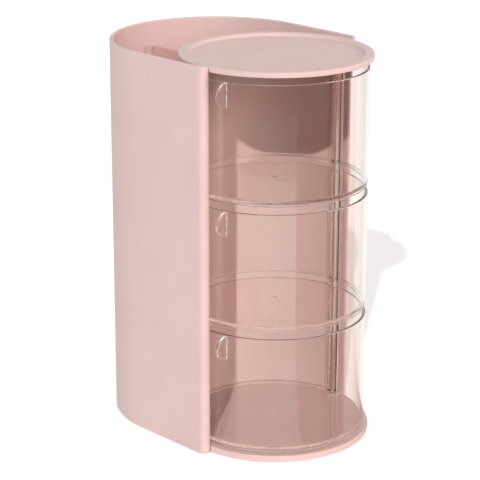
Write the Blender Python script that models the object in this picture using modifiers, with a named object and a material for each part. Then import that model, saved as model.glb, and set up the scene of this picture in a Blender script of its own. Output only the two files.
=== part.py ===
# Three-tier vanity organizer: clear round drawers that swing out on a rod
# at the right of a capsule-shaped housing, with an open well behind them.
# Metres, +Z up, front toward -Y. The frame's origin is under the middle of
# the footprint; the drawers' common centre line stands AXIS_Y in front of it.

import math

import bmesh
import bpy
from mathutils import Matrix

# General fits
SEAT_GAP = 0.0003
OVERRUN = 0.002

# Clear drawers
CUP_RADIUS = 0.070
CUP_HEIGHT = 0.0903
CUP_WALL = 0.0022
CUP_FLOOR = 0.0025
CUP_FLOOR_FILLET = 0.003
CUP_FOOT_HEIGHT = 0.0015
CUP_FOOT_WIDTH = 0.0035
CUP_FOOT_STEP = 0.0005
CUP_FOOT_STEP_HEIGHT = 0.0026
CUP_RIM_ROUND = 0.0008

# Pivot rod and what it carries
PIVOT_INSET = 0.0015
ROD_RADIUS = 0.003
ROD_CHAMFER = 0.0004
SLEEVE_RADIUS = 0.0055
BORE_CLEARANCE = 0.0003
SPACER_RADIUS = 0.004
SPACER_LENGTH = 0.0052
WASHER_RADIUS = 0.006
WASHER_THICKNESS = 0.0006

# Finger pulls
PULL_HEIGHT = 0.0188
PULL_REACH = 0.011
PULL_THICKNESS = 0.0022
PULL_EDGE_ROUND = 0.0004
PULL_BITE = 0.001
PULL_SEAT_ANGLE = math.radians(195)
PULL_FIN_ANGLE = math.radians(188)

# Housing
HOUSING_WALL = 0.003
HOUSING_SIDE_SPACE = 0.0048
WELL_DEPTH = 0.0708
HOUSING_PROUD = 0.0009
HOUSING_EDGE_ROUND = 0.0008
NOSE_CLEARANCE = 0.0013
NOSE_REACH = 0.007
NOSE_BACK_Y = 0.0015
RIGHT_END_REACH = 0.005

# Curved panel behind the drawers
PANEL_GAP = 0.001
PANEL_THICKNESS = 0.0022
PANEL_KEEPER_THICKNESS = 0.0015
PANEL_KEEPER_LENGTH = 0.0045
WEB_THICKNESS = 0.0025
WEB_FRONT_Y = 0.0085

# Base and lid
BASE_MARGIN = 0.0034
BASE_THICKNESS = 0.005
BASE_EDGE_ROUND = 0.0009
BASE_POCKET_FLOOR = 0.0016
LID_MARGIN = 0.003
LID_THICKNESS = 0.004
LID_RIM_WIDTH = 0.008
LID_RECESS = 0.0022
LID_ROUND = 0.0012
LID_POCKET_ROOF = 0.0015
LID_LIP_DEPTH = 0.0025
LID_LIP_THICKNESS = 0.0018
LID_LIP_ANGLE = math.radians(62)

# Foot pads and base screws
PAD_RADIUS = 0.005
PAD_THICKNESS = 0.0011
PAD_PROUD = 0.0006
PAD_INSET = 0.0154
PAD_ANGLE = math.radians(43.6)
COLUMN_RADIUS = 0.0055
COLUMN_BITE = 0.0005
SIDE_COLUMN_SHARE = 2 / 3
BACK_COLUMN_ANGLE = math.radians(60)
SCREW_SHANK_RADIUS = 0.0014
SCREW_HEAD_RADIUS = 0.0028
SCREW_HEAD_EDGE = 0.0003
SCREW_HEAD_CONE = 0.0014
SCREW_LENGTH = 0.0135
SCREW_SINK = 0.0002
PILOT_SPARE = 0.0015

# Rear well
WELL_FLOOR_TOP = 0.1205
WELL_FLOOR_THICKNESS = 0.0025
WELL_FLOOR_FRONT_Y = 0.018
DIVIDER_THICKNESS = 0.002
DIVIDER_DROP = 0.018
DIVIDER_CORNER = 0.003
GUIDE_DEPTH = 0.006
GUIDE_THICKNESS = 0.002

# Facets
ROUND_STEPS = 56
BACK_STEPS = 32
NOSE_STEPS = 10
SMALL_STEPS = 20
FILLET_STEPS = 3
RIM_STEPS = 2

# Sizes and places that follow from the ones above
PIVOT_X = CUP_RADIUS - PIVOT_INSET
BASE_RADIUS = CUP_RADIUS + BASE_MARGIN
LID_RADIUS = CUP_RADIUS + LID_MARGIN
PANEL_INNER = CUP_RADIUS + PANEL_GAP
PANEL_OUTER = PANEL_INNER + PANEL_THICKNESS
INNER_HALF_WIDTH = PANEL_OUTER + HOUSING_SIDE_SPACE
HALF_WIDTH = INNER_HALF_WIDTH + HOUSING_WALL
BACK_WALL_Y = PANEL_OUTER + WELL_DEPTH
BACK_CENTRE_Y = BACK_WALL_Y - INNER_HALF_WIDTH
AXIS_Y = (BASE_RADIUS - BACK_CENTRE_Y - HALF_WIDTH) / 2
BASE_UNDERSIDE = PAD_PROUD
BASE_TOP = BASE_UNDERSIDE + BASE_THICKNESS
FIRST_CUP_Z = BASE_TOP + SEAT_GAP + WASHER_THICKNESS + SEAT_GAP
PITCH = CUP_HEIGHT + SEAT_GAP + SPACER_LENGTH + SEAT_GAP
TIER_NAMES = ("bottom", "middle", "top")
LID_UNDERSIDE = FIRST_CUP_Z + len(TIER_NAMES) * PITCH
LID_TOP = LID_UNDERSIDE + LID_THICKNESS
HOUSING_TOP = LID_TOP + HOUSING_PROUD
BASE_ROD_POCKET = BASE_THICKNESS - BASE_POCKET_FLOOR
LID_ROD_POCKET = LID_THICKNESS - LID_POCKET_ROOF
NOSE_INNER_X = -CUP_RADIUS - NOSE_CLEARANCE
NOSE_RADIUS = (HALF_WIDTH + NOSE_INNER_X) / 2
NOSE_X = NOSE_RADIUS - HALF_WIDTH
NOSE_Y = NOSE_RADIUS - NOSE_REACH
PANEL_BOTTOM = BASE_TOP + SEAT_GAP
PANEL_TOP = LID_UNDERSIDE - SEAT_GAP
WEB_BACK_Y = WEB_FRONT_Y + WEB_THICKNESS
BORE_RADIUS = ROD_RADIUS + BORE_CLEARANCE
WELL_FLOOR_BOTTOM = WELL_FLOOR_TOP - WELL_FLOOR_THICKNESS
DIVIDER_BOTTOM = WELL_FLOOR_TOP + SEAT_GAP
DIVIDER_TOP = HOUSING_TOP - DIVIDER_DROP
COLUMN_SEAT_RADIUS = INNER_HALF_WIDTH + COLUMN_BITE - COLUMN_RADIUS


# Scene, materials and collections

def clear_scene():
    for obj in list(bpy.data.objects):
        bpy.data.objects.remove(obj, do_unlink=True)


def new_collection(name):
    collection = bpy.data.collections.new(name)
    bpy.context.scene.collection.children.link(collection)
    return collection


def make_material(name, colour, roughness, metallic=0.0, transmission=0.0, ior=1.5):
    material = bpy.data.materials.new(name)
    material.use_nodes = True
    shader = material.node_tree.nodes["Principled BSDF"]
    shader.inputs["Base Color"].default_value = (*colour, 1.0)
    shader.inputs["Roughness"].default_value = roughness
    shader.inputs["Metallic"].default_value = metallic
    shader.inputs["Transmission Weight"].default_value = transmission
    shader.inputs["IOR"].default_value = ior
    return material


def pink_plastic(name):
    return make_material(name, (0.72, 0.50, 0.465), 0.45, ior=1.53)


def clear_plastic(name):
    return make_material(name, (0.95, 0.93, 0.90), 0.05, transmission=1.0, ior=1.49)


def bright_steel(name):
    return make_material(name, (0.75, 0.74, 0.72), 0.15, metallic=1.0)


def grey_rubber(name):
    return make_material(name, (0.42, 0.40, 0.39), 0.8)


def white_plastic(name):
    return make_material(name, (0.80, 0.79, 0.76), 0.4)


# Modelling helpers

def add_object(name, mesh, collection, material=None, parent=None, location=(0, 0, 0)):
    obj = bpy.data.objects.new(name, mesh)
    collection.objects.link(obj)
    obj.parent = parent
    obj.location = location
    if material:
        mesh.materials.append(material)
    return obj


def make_cutter(obj):
    obj.hide_render = True
    obj.display_type = "WIRE"
    return obj


def add_empty(name, collection, parent=None, location=(0, 0, 0)):
    empty = bpy.data.objects.new(name, None)
    collection.objects.link(empty)
    empty.parent = parent
    empty.location = location
    return empty


def arc(centre, radius, start, end, steps):
    points = []
    for i in range(steps + 1):
        angle = start + (end - start) * i / steps
        points.append((centre[0] + radius * math.cos(angle), centre[1] + radius * math.sin(angle)))
    return points


def outline_mesh(name, outlines, thickness):
    # A closed flat outline, or one with holes in it, as a solid plate that
    # stands from z = 0 to its thickness
    curve = bpy.data.curves.new(name, "CURVE")
    curve.dimensions = "2D"
    curve.fill_mode = "BOTH"
    curve.extrude = thickness / 2
    for outline in outlines:
        spline = curve.splines.new("POLY")
        spline.points.add(len(outline) - 1)
        for point, (x, y) in zip(spline.points, outline):
            point.co = (x, y, 0, 1)
        spline.use_cyclic_u = True
    holder = bpy.data.objects.new(name + "_outline", curve)
    bpy.context.scene.collection.objects.link(holder)
    bpy.context.view_layer.update()
    evaluated = holder.evaluated_get(bpy.context.evaluated_depsgraph_get())
    mesh = bpy.data.meshes.new_from_object(evaluated)
    bpy.data.objects.remove(holder, do_unlink=True)
    bpy.data.curves.remove(curve)
    bm = bmesh.new()
    bm.from_mesh(mesh)
    bmesh.ops.remove_doubles(bm, verts=bm.verts, dist=SEAT_GAP / 30)
    flat = math.radians(0.05)
    bmesh.ops.dissolve_limit(bm, angle_limit=flat, verts=bm.verts, edges=bm.edges)
    bmesh.ops.translate(bm, verts=bm.verts, vec=(0, 0, thickness / 2))
    bmesh.ops.recalc_face_normals(bm, faces=bm.faces)
    bm.to_mesh(mesh)
    bm.free()
    mesh.name = name
    return mesh


def smooth_mesh(mesh):
    mesh.shade_smooth()
    mesh.set_sharp_from_angle(angle=math.radians(35))


def cylinder_mesh(name, radius, height):
    bm = bmesh.new()
    bmesh.ops.create_cone(
        bm,
        cap_ends=True,
        segments=SMALL_STEPS,
        radius1=radius,
        radius2=radius,
        depth=height,
    )
    bmesh.ops.translate(bm, verts=bm.verts, vec=(0, 0, height / 2))
    mesh = bpy.data.meshes.new(name)
    bm.to_mesh(mesh)
    bm.free()
    smooth_mesh(mesh)
    return mesh


def box_mesh(name, x_range, y_range, z_range):
    bm = bmesh.new()
    bmesh.ops.create_cube(bm, size=1)
    spans = [high - low for low, high in (x_range, y_range, z_range)]
    middles = [(high + low) / 2 for low, high in (x_range, y_range, z_range)]
    bmesh.ops.scale(bm, verts=bm.verts, vec=spans)
    bmesh.ops.translate(bm, verts=bm.verts, vec=middles)
    mesh = bpy.data.meshes.new(name)
    bm.to_mesh(mesh)
    bm.free()
    return mesh


def turned_object(name, profile, collection, material, parent, location, steps=ROUND_STEPS):
    # A profile of (radius, height) points turned round its own Z axis. One
    # that ends where it starts is closed, as a ring's is
    closed = profile[0] == profile[-1]
    points = profile[:-1] if closed else profile
    mesh = bpy.data.meshes.new(name)
    vertices = [(radius, 0, height) for radius, height in points]
    edges = [(i, (i + 1) % len(points)) for i in range(len(profile) - 1)]
    mesh.from_pydata(vertices, edges, [])
    obj = add_object(name, mesh, collection, material, parent, location)
    screw = obj.modifiers.new("turn", "SCREW")
    screw.steps = steps
    screw.render_steps = steps
    screw.use_merge_vertices = True
    screw.merge_threshold = SEAT_GAP / 30
    screw.use_smooth_shade = True
    return obj


def ring_profile(inner, outer, length):
    return [(inner, 0), (inner, length), (outer, length), (outer, 0), (inner, 0)]


def add_bevel(obj, width, segments=2):
    bevel = obj.modifiers.new("rounded edges", "BEVEL")
    bevel.width = width
    bevel.segments = segments
    bevel.limit_method = "ANGLE"
    bevel.angle_limit = math.radians(40)
    return bevel


def combine(obj, other, operation):
    boolean = obj.modifiers.new(operation.lower() + " " + other.name, "BOOLEAN")
    boolean.operation = operation
    boolean.solver = "EXACT"
    boolean.object = other
    return boolean


def cut(obj, other):
    return combine(obj, make_cutter(other), "DIFFERENCE")


def join(obj, other):
    return combine(obj, make_cutter(other), "UNION")


# Outlines in plan, about the drawers' centre line

def housing_outline():
    outer_back = arc((0, BACK_CENTRE_Y), HALF_WIDTH, 0, math.pi, BACK_STEPS)
    nose = arc((NOSE_X, NOSE_Y), NOSE_RADIUS, math.pi, 2 * math.pi, NOSE_STEPS)
    nose_back = [(NOSE_INNER_X, NOSE_BACK_Y), (-INNER_HALF_WIDTH, NOSE_BACK_Y)]
    inner_back = arc((0, BACK_CENTRE_Y), INNER_HALF_WIDTH, math.pi, 0, BACK_STEPS)
    end_radius = HOUSING_WALL / 2
    end_centre = (HALF_WIDTH - end_radius, end_radius - RIGHT_END_REACH)
    right_end = arc(end_centre, end_radius, math.pi, 2 * math.pi, NOSE_STEPS)
    return outer_back + nose + nose_back + inner_back + right_end


def nose_clearance_outline():
    radius = NOSE_RADIUS + SEAT_GAP
    front = arc((NOSE_X, NOSE_Y), radius, math.pi, 2 * math.pi, NOSE_STEPS)
    back_y = NOSE_BACK_Y + SEAT_GAP
    return front + [(NOSE_X + radius, back_y), (NOSE_X - radius, back_y)]


def circle_meeting(radius, centre, other_radius):
    # Where a circle round the origin meets another one, on the front side
    distance = math.hypot(*centre)
    along = (radius ** 2 - other_radius ** 2 + distance ** 2) / (2 * distance)
    across = math.sqrt(radius ** 2 - along ** 2)
    x = (along * centre[0] - across * centre[1]) / distance
    y = (along * centre[1] + across * centre[0]) / distance
    return x, y


def base_outline():
    # Round in front, with a hollow that clears the nose at its left end
    reach = INNER_HALF_WIDTH - SEAT_GAP
    step_y = HOUSING_WALL / 2 - RIGHT_END_REACH + SEAT_GAP
    step_angle = math.asin(step_y / BASE_RADIUS)
    nose_radius = NOSE_RADIUS + SEAT_GAP
    meet_x, meet_y = circle_meeting(BASE_RADIUS, (NOSE_X, NOSE_Y), nose_radius)
    start = math.atan2(meet_y, meet_x) + 2 * math.pi
    front = arc((0, 0), BASE_RADIUS, start, 2 * math.pi + step_angle, ROUND_STEPS // 2)
    back = arc((0, BACK_CENTRE_Y), reach, 0, math.pi, BACK_STEPS)
    back_y = NOSE_BACK_Y + SEAT_GAP
    nose_end = math.atan2(meet_y - NOSE_Y, meet_x - NOSE_X)
    hollow = arc((NOSE_X, NOSE_Y), nose_radius, 0, nose_end, NOSE_STEPS // 2)
    corner = [(-reach, back_y), (NOSE_X + nose_radius, back_y)]
    return front + [(reach, step_y)] + back + corner + hollow[:-1]


def crescent_outline(outer_reach, inner_radius, front_y):
    start = math.asin(front_y / inner_radius)
    outer = arc((0, BACK_CENTRE_Y), outer_reach, 0, math.pi, BACK_STEPS)
    inner = arc((0, 0), inner_radius, math.pi - start, start, BACK_STEPS)
    return outer + [(-outer_reach, front_y)] + inner + [(outer_reach, front_y)]


def sector_outline(inner, outer, start, end, steps):
    return arc((0, 0), outer, start, end, steps) + arc((0, 0), inner, end, start, steps)


def column_places():
    places = []
    for side in (-1, 1):
        places.append((side * COLUMN_SEAT_RADIUS, SIDE_COLUMN_SHARE * BACK_CENTRE_Y))
        along = COLUMN_SEAT_RADIUS * math.cos(BACK_COLUMN_ANGLE)
        back = COLUMN_SEAT_RADIUS * math.sin(BACK_COLUMN_ANGLE)
        places.append((side * along, BACK_CENTRE_Y + back))
    return places


def pad_places():
    # Two near the round front edge and two near the round back one
    along = math.cos(PAD_ANGLE)
    across = math.sin(PAD_ANGLE)
    front = BASE_RADIUS - PAD_INSET
    back = INNER_HALF_WIDTH - PAD_INSET
    places = [(side * front * along, -front * across) for side in (-1, 1)]
    places += [(side * back * along, BACK_CENTRE_Y + back * across) for side in (-1, 1)]
    return places


# Sub-parts

def build_housing(parts, cutters, root):
    height = HOUSING_TOP - BASE_UNDERSIDE
    mesh = outline_mesh("housing", [housing_outline()], height)
    smooth_mesh(mesh)
    material = pink_plastic("pink_housing")
    housing = add_object("housing", mesh, parts, material, root, (0, 0, BASE_UNDERSIDE))
    add_bevel(housing, HOUSING_EDGE_ROUND)
    add_panel_seats(housing, cutters, root)
    add_columns(housing, cutters, root)
    add_guides(housing, cutters, root, BACK_WALL_Y - GUIDE_DEPTH, BACK_WALL_Y + HOUSING_WALL / 2)
    return housing


def add_panel_seats(housing, cutters, root):
    # A web from the right wall and a keeper rib each side hold the panel's ends
    inside = PANEL_OUTER + SEAT_GAP
    wall = INNER_HALF_WIDTH + HOUSING_WALL / 2
    left_x = -inside
    keeper_back = NOSE_BACK_Y + PANEL_KEEPER_LENGTH
    x_range = (left_x - PANEL_KEEPER_THICKNESS, left_x)
    y_range = (NOSE_BACK_Y - OVERRUN, keeper_back)
    z_range = (PANEL_BOTTOM, PANEL_TOP)
    left_keeper = box_mesh("left_keeper", x_range, y_range, z_range)
    web_inner = math.sqrt(PANEL_INNER ** 2 - WEB_FRONT_Y ** 2) + SEAT_GAP
    right_x = math.sqrt(inside ** 2 - WEB_BACK_Y ** 2)
    far_x = right_x + PANEL_KEEPER_THICKNESS
    far_y = WEB_BACK_Y + PANEL_KEEPER_LENGTH
    web = [
        (wall, WEB_FRONT_Y),
        (wall, WEB_BACK_Y),
        (far_x, WEB_BACK_Y),
        (far_x, far_y),
        (right_x, far_y),
        (right_x, WEB_BACK_Y),
        (web_inner, WEB_BACK_Y),
        (web_inner, WEB_FRONT_Y),
    ]
    right_web = outline_mesh("right_web", [web], PANEL_TOP - PANEL_BOTTOM)
    join(housing, add_object("left_keeper", left_keeper, cutters, parent=root))
    join(housing, add_object("right_web", right_web, cutters, parent=root, location=(0, 0, PANEL_BOTTOM)))


def add_columns(housing, cutters, root):
    # Posts that take the base screws below and carry the well floor on top
    bottom = BASE_TOP + SEAT_GAP
    height = WELL_FLOOR_BOTTOM - SEAT_GAP - bottom
    column = cylinder_mesh("column", COLUMN_RADIUS, height)
    pilot_depth = SCREW_LENGTH + PILOT_SPARE - BASE_THICKNESS
    pilot = cylinder_mesh("pilot", SCREW_SHANK_RADIUS + SEAT_GAP, pilot_depth + OVERRUN)
    for i, (x, y) in enumerate(column_places(), 1):
        post = add_object("column_%d" % i, column, cutters, parent=root, location=(x, y, bottom))
        join(housing, post)
        place = (x, y, bottom - OVERRUN)
        cut(housing, add_object("pilot_%d" % i, pilot, cutters, parent=root, location=place))


def add_guides(carrier, cutters, root, front, back):
    # The two upright ribs that the divider slides between
    inner = DIVIDER_THICKNESS / 2 + SEAT_GAP
    outer = inner + GUIDE_THICKNESS
    for side in (-1, 1):
        x_range = sorted((side * inner, side * outer))
        name = "%s_guide_%s" % (carrier.name, "left" if side < 0 else "right")
        mesh = box_mesh(name, x_range, (front, back), (DIVIDER_BOTTOM, DIVIDER_TOP))
        join(carrier, add_object(name, mesh, cutters, parent=root))


def build_back_panel(parts, cutters, root):
    start = math.asin((WEB_BACK_Y + SEAT_GAP) / PANEL_INNER)
    end = math.pi - math.asin((NOSE_BACK_Y + SEAT_GAP) / PANEL_INNER)
    outline = sector_outline(PANEL_INNER, PANEL_OUTER, start, end, BACK_STEPS)
    mesh = outline_mesh("back_panel", [outline], PANEL_TOP - PANEL_BOTTOM)
    smooth_mesh(mesh)
    material = pink_plastic("pink_panel")
    panel = add_object("back_panel", mesh, parts, material, root, (0, 0, PANEL_BOTTOM))
    add_guides(panel, cutters, root, PANEL_OUTER - PANEL_THICKNESS / 2, PANEL_OUTER + GUIDE_DEPTH)
    return panel


def build_base(parts, cutters, root):
    mesh = outline_mesh("base", [base_outline()], BASE_THICKNESS)
    smooth_mesh(mesh)
    material = pink_plastic("pink_base")
    base = add_object("base", mesh, parts, material, root, (0, 0, BASE_UNDERSIDE))
    add_bevel(base, BASE_EDGE_ROUND)
    pocket = cylinder_mesh("base_rod_pocket", BORE_RADIUS, BASE_ROD_POCKET + OVERRUN)
    place = (PIVOT_X, 0, BASE_TOP - BASE_ROD_POCKET)
    cut(base, add_object("base_rod_pocket", pocket, cutters, parent=root, location=place))
    for i, (x, y) in enumerate(column_places(), 1):
        place = (x, y, BASE_UNDERSIDE)
        name = "screw_hole_%d" % i
        profile = screw_hole_profile()
        cut(base, turned_object(name, profile, cutters, None, root, place, SMALL_STEPS))
    recess_depth = PAD_THICKNESS - PAD_PROUD + SEAT_GAP
    recess = cylinder_mesh("pad_recess", PAD_RADIUS + SEAT_GAP, recess_depth + OVERRUN)
    for i, (x, y) in enumerate(pad_places(), 1):
        place = (x, y, BASE_UNDERSIDE - OVERRUN)
        cut(base, add_object("pad_recess_%d" % i, recess, cutters, parent=root, location=place))
    return base


def screw_hole_profile():
    # A clearance hole with a countersink below, both a little past the base
    hole = SCREW_SHANK_RADIUS + SEAT_GAP
    sink = SCREW_HEAD_RADIUS + SEAT_GAP
    sink_edge = SCREW_SINK + SCREW_HEAD_EDGE + SEAT_GAP
    top = BASE_THICKNESS + OVERRUN
    return [
        (0, top),
        (hole, top),
        (hole, sink_edge + SCREW_HEAD_CONE),
        (sink, sink_edge),
        (sink, -OVERRUN),
        (0, -OVERRUN),
    ]


def lid_profile():
    recess_z = LID_THICKNESS - LID_RECESS
    recess_radius = LID_RADIUS - LID_RIM_WIDTH
    lower_round = LID_ROUND / 2
    points = [(0, recess_z), (recess_radius - lower_round, recess_z)]
    slope_top = (recess_radius + lower_round, LID_THICKNESS - lower_round / 2)
    points.append((recess_radius, recess_z + lower_round))
    points.append(slope_top)
    points.append((recess_radius + LID_ROUND, LID_THICKNESS))
    centre = (LID_RADIUS - LID_ROUND, LID_THICKNESS - LID_ROUND)
    points += arc(centre, LID_ROUND, math.pi / 2, 0, FILLET_STEPS)
    points += [(LID_RADIUS, lower_round), (LID_RADIUS - lower_round, 0), (0, 0)]
    return points


def build_lid(parts, cutters, root):
    place = (0, 0, LID_UNDERSIDE)
    lid = turned_object("lid", lid_profile(), parts, pink_plastic("pink_lid"), root, place)
    lip_outer = PANEL_INNER - SEAT_GAP
    middle = math.pi / 2
    ends = (middle - LID_LIP_ANGLE, middle + LID_LIP_ANGLE)
    lip_height = LID_LIP_DEPTH + LID_THICKNESS - LID_RECESS - LID_ROUND / 2
    lip = sector_outline(lip_outer - LID_LIP_THICKNESS, lip_outer, *ends, BACK_STEPS)
    lip_mesh = outline_mesh("lid_lip", [lip], lip_height)
    lip_place = (0, 0, LID_UNDERSIDE - LID_LIP_DEPTH)
    join(lid, add_object("lid_lip", lip_mesh, cutters, parent=root, location=lip_place))
    notch = outline_mesh("lid_notch", [nose_clearance_outline()], LID_THICKNESS + 2 * OVERRUN)
    notch_place = (0, 0, LID_UNDERSIDE - OVERRUN)
    cut(lid, add_object("lid_notch", notch, cutters, parent=root, location=notch_place))
    pocket = cylinder_mesh("lid_rod_pocket", BORE_RADIUS, LID_ROD_POCKET + OVERRUN)
    pocket_place = (PIVOT_X, 0, LID_UNDERSIDE - OVERRUN)
    cut(lid, add_object("lid_rod_pocket", pocket, cutters, parent=root, location=pocket_place))
    return lid


def cup_profile():
    floor_top = CUP_FOOT_HEIGHT + CUP_FLOOR
    inner = CUP_RADIUS - CUP_WALL
    foot_outer = CUP_RADIUS - CUP_FOOT_STEP
    points = [(0, floor_top)]
    fillet_centre = (inner - CUP_FLOOR_FILLET, floor_top + CUP_FLOOR_FILLET)
    points += arc(fillet_centre, CUP_FLOOR_FILLET, -math.pi / 2, 0, FILLET_STEPS)
    rim_z = CUP_HEIGHT - CUP_RIM_ROUND
    points += arc((inner + CUP_RIM_ROUND, rim_z), CUP_RIM_ROUND, math.pi, math.pi / 2, RIM_STEPS)
    points += arc((CUP_RADIUS - CUP_RIM_ROUND, rim_z), CUP_RIM_ROUND, math.pi / 2, 0, RIM_STEPS)
    points += [
        (CUP_RADIUS, CUP_FOOT_STEP_HEIGHT),
        (foot_outer, CUP_FOOT_STEP_HEIGHT - CUP_FOOT_STEP),
        (foot_outer, 0),
        (foot_outer - CUP_FOOT_WIDTH, 0),
        (foot_outer - CUP_FOOT_WIDTH, CUP_FOOT_HEIGHT),
        (0, CUP_FOOT_HEIGHT),
    ]
    return points


def build_drawer(tier, name, parts, cutters, root):
    bottom = FIRST_CUP_Z + tier * PITCH
    pivot = add_empty("pivot_" + name, parts, root, (PIVOT_X, 0, bottom))
    material = clear_plastic("clear_" + name)
    cup = turned_object("drawer_" + name, cup_profile(), parts, material, pivot, (-PIVOT_X, 0, 0))
    sleeve = cylinder_mesh("sleeve_" + name, SLEEVE_RADIUS, CUP_HEIGHT)
    join(cup, add_object("sleeve_" + name, sleeve, cutters, parent=pivot))
    bore = cylinder_mesh("bore_" + name, BORE_RADIUS, CUP_HEIGHT + 2 * OVERRUN)
    bore_place = (0, 0, -OVERRUN)
    cut(cup, add_object("bore_" + name, bore, cutters, parent=pivot, location=bore_place))
    build_pull(name, parts, cutters, pivot)
    return cup


def pull_outline():
    # A half moon that bulges toward +x. Its flat side lies behind x = 0, for
    # the drawer's wall to cut it to its own curve
    steps = NOSE_STEPS * 2
    reach = PULL_REACH + PULL_BITE
    points = []
    for i in range(steps + 1):
        angle = math.pi * i / steps - math.pi / 2
        points.append((reach * math.cos(angle) - PULL_BITE, PULL_HEIGHT / 2 * math.sin(angle)))
    return points


def build_pull(name, parts, cutters, pivot):
    mesh = outline_mesh("pull_" + name, [pull_outline()], PULL_THICKNESS)
    # Centred on its own thickness, stood upright and turned out of the drawer
    mesh.transform(Matrix.Translation((0, 0, -PULL_THICKNESS / 2)))
    seat = CUP_RADIUS + SEAT_GAP
    seat_x = seat * math.cos(PULL_SEAT_ANGLE) - PIVOT_X
    seat_y = seat * math.sin(PULL_SEAT_ANGLE)
    place = (seat_x, seat_y, CUP_HEIGHT - PULL_HEIGHT / 2)
    pull = add_object("pull_" + name, mesh, parts, clear_plastic("clear_pull_" + name), pivot, place)
    pull.rotation_euler = (math.pi / 2, 0, PULL_FIN_ANGLE)
    add_bevel(pull, PULL_EDGE_ROUND, 1)
    reach = CUP_HEIGHT + OVERRUN
    wall = [(0, reach), (seat, reach), (seat, 0), (0, 0)]
    cut(pull, turned_object("pull_seat_" + name, wall, cutters, None, pivot, (-PIVOT_X, 0, 0)))
    return pull


def build_rod(parts, root):
    bottom = BASE_TOP - BASE_ROD_POCKET + SEAT_GAP
    length = LID_UNDERSIDE + LID_ROD_POCKET - SEAT_GAP - bottom
    profile = [
        (0, length),
        (ROD_RADIUS - ROD_CHAMFER, length),
        (ROD_RADIUS, length - ROD_CHAMFER),
        (ROD_RADIUS, ROD_CHAMFER),
        (ROD_RADIUS - ROD_CHAMFER, 0),
        (0, 0),
    ]
    material = bright_steel("bright_rod")
    place = (PIVOT_X, 0, bottom)
    return turned_object("pivot_rod", profile, parts, material, root, place, SMALL_STEPS)


def build_spacers(parts, root):
    profile = ring_profile(BORE_RADIUS, SPACER_RADIUS, SPACER_LENGTH)
    for tier, name in enumerate(TIER_NAMES):
        z = FIRST_CUP_Z + tier * PITCH + CUP_HEIGHT + SEAT_GAP
        material = bright_steel("bright_spacer_" + name)
        turned_object("spacer_" + name, profile, parts, material, root, (PIVOT_X, 0, z), SMALL_STEPS)


def build_washer(parts, root):
    profile = ring_profile(BORE_RADIUS, WASHER_RADIUS, WASHER_THICKNESS)
    material = white_plastic("white_washer")
    place = (PIVOT_X, 0, BASE_TOP + SEAT_GAP)
    turned_object("thrust_washer", profile, parts, material, root, place, SMALL_STEPS)


def build_screws(parts, root):
    cone_top = SCREW_HEAD_EDGE + SCREW_HEAD_CONE
    profile = [
        (0, SCREW_LENGTH),
        (SCREW_SHANK_RADIUS, SCREW_LENGTH),
        (SCREW_SHANK_RADIUS, cone_top),
        (SCREW_HEAD_RADIUS, SCREW_HEAD_EDGE),
        (SCREW_HEAD_RADIUS, 0),
        (0, 0),
    ]
    for i, (x, y) in enumerate(column_places(), 1):
        material = bright_steel("steel_screw_%d" % i)
        place = (x, y, BASE_UNDERSIDE + SCREW_SINK)
        turned_object("base_screw_%d" % i, profile, parts, material, root, place, SMALL_STEPS)


def build_pads(parts, root):
    for i, (x, y) in enumerate(pad_places(), 1):
        mesh = cylinder_mesh("foot_pad_%d" % i, PAD_RADIUS, PAD_THICKNESS)
        add_object("foot_pad_%d" % i, mesh, parts, grey_rubber("rubber_%d" % i), root, (x, y, 0))


def build_well_floor(parts, root):
    reach = INNER_HALF_WIDTH - SEAT_GAP
    inner = PANEL_OUTER + SEAT_GAP
    outline = crescent_outline(reach, inner, WELL_FLOOR_FRONT_Y)
    mesh = outline_mesh("well_floor", [outline], WELL_FLOOR_THICKNESS)
    smooth_mesh(mesh)
    material = pink_plastic("pink_well_floor")
    place = (0, 0, WELL_FLOOR_BOTTOM)
    return add_object("well_floor", mesh, parts, material, root, place)


def build_divider(parts, root):
    front = PANEL_OUTER + SEAT_GAP
    back = BACK_WALL_Y - SEAT_GAP
    height = DIVIDER_TOP - DIVIDER_BOTTOM
    length = back - front
    quarter = math.pi / 2
    front_top = (DIVIDER_CORNER, height - DIVIDER_CORNER)
    back_top = (length - DIVIDER_CORNER, height - DIVIDER_CORNER)
    outline = [(0, 0), (length, 0)]
    outline += arc(back_top, DIVIDER_CORNER, 0, quarter, FILLET_STEPS)
    outline += arc(front_top, DIVIDER_CORNER, quarter, 2 * quarter, FILLET_STEPS)
    mesh = outline_mesh("divider", [outline], DIVIDER_THICKNESS)
    smooth_mesh(mesh)
    place = (-DIVIDER_THICKNESS / 2, front, DIVIDER_BOTTOM)
    divider = add_object("divider", mesh, parts, pink_plastic("pink_divider"), root, place)
    divider.rotation_euler = (quarter, 0, quarter)
    return divider


def main():
    clear_scene()
    parts = new_collection("rotating_makeup_organizer")
    cutters = new_collection("cutters")
    root = add_empty("drawer_centre_line", parts, None, (0, AXIS_Y, 0))
    build_base(parts, cutters, root)
    build_housing(parts, cutters, root)
    build_back_panel(parts, cutters, root)
    build_well_floor(parts, root)
    build_divider(parts, root)
    build_lid(parts, cutters, root)
    build_rod(parts, root)
    build_washer(parts, root)
    build_spacers(parts, root)
    for tier, name in enumerate(TIER_NAMES):
        build_drawer(tier, name, parts, cutters, root)
    build_screws(parts, root)
    build_pads(parts, root)
    bpy.context.view_layer.update()


main()
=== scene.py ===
# Looks for the swing-out makeup organizer: a satin pink capsule housing, clear
# round drawers on a bright rod at its right, and an open divided well behind.
import math

import bmesh
import bpy
from mathutils import Matrix, Vector


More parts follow.
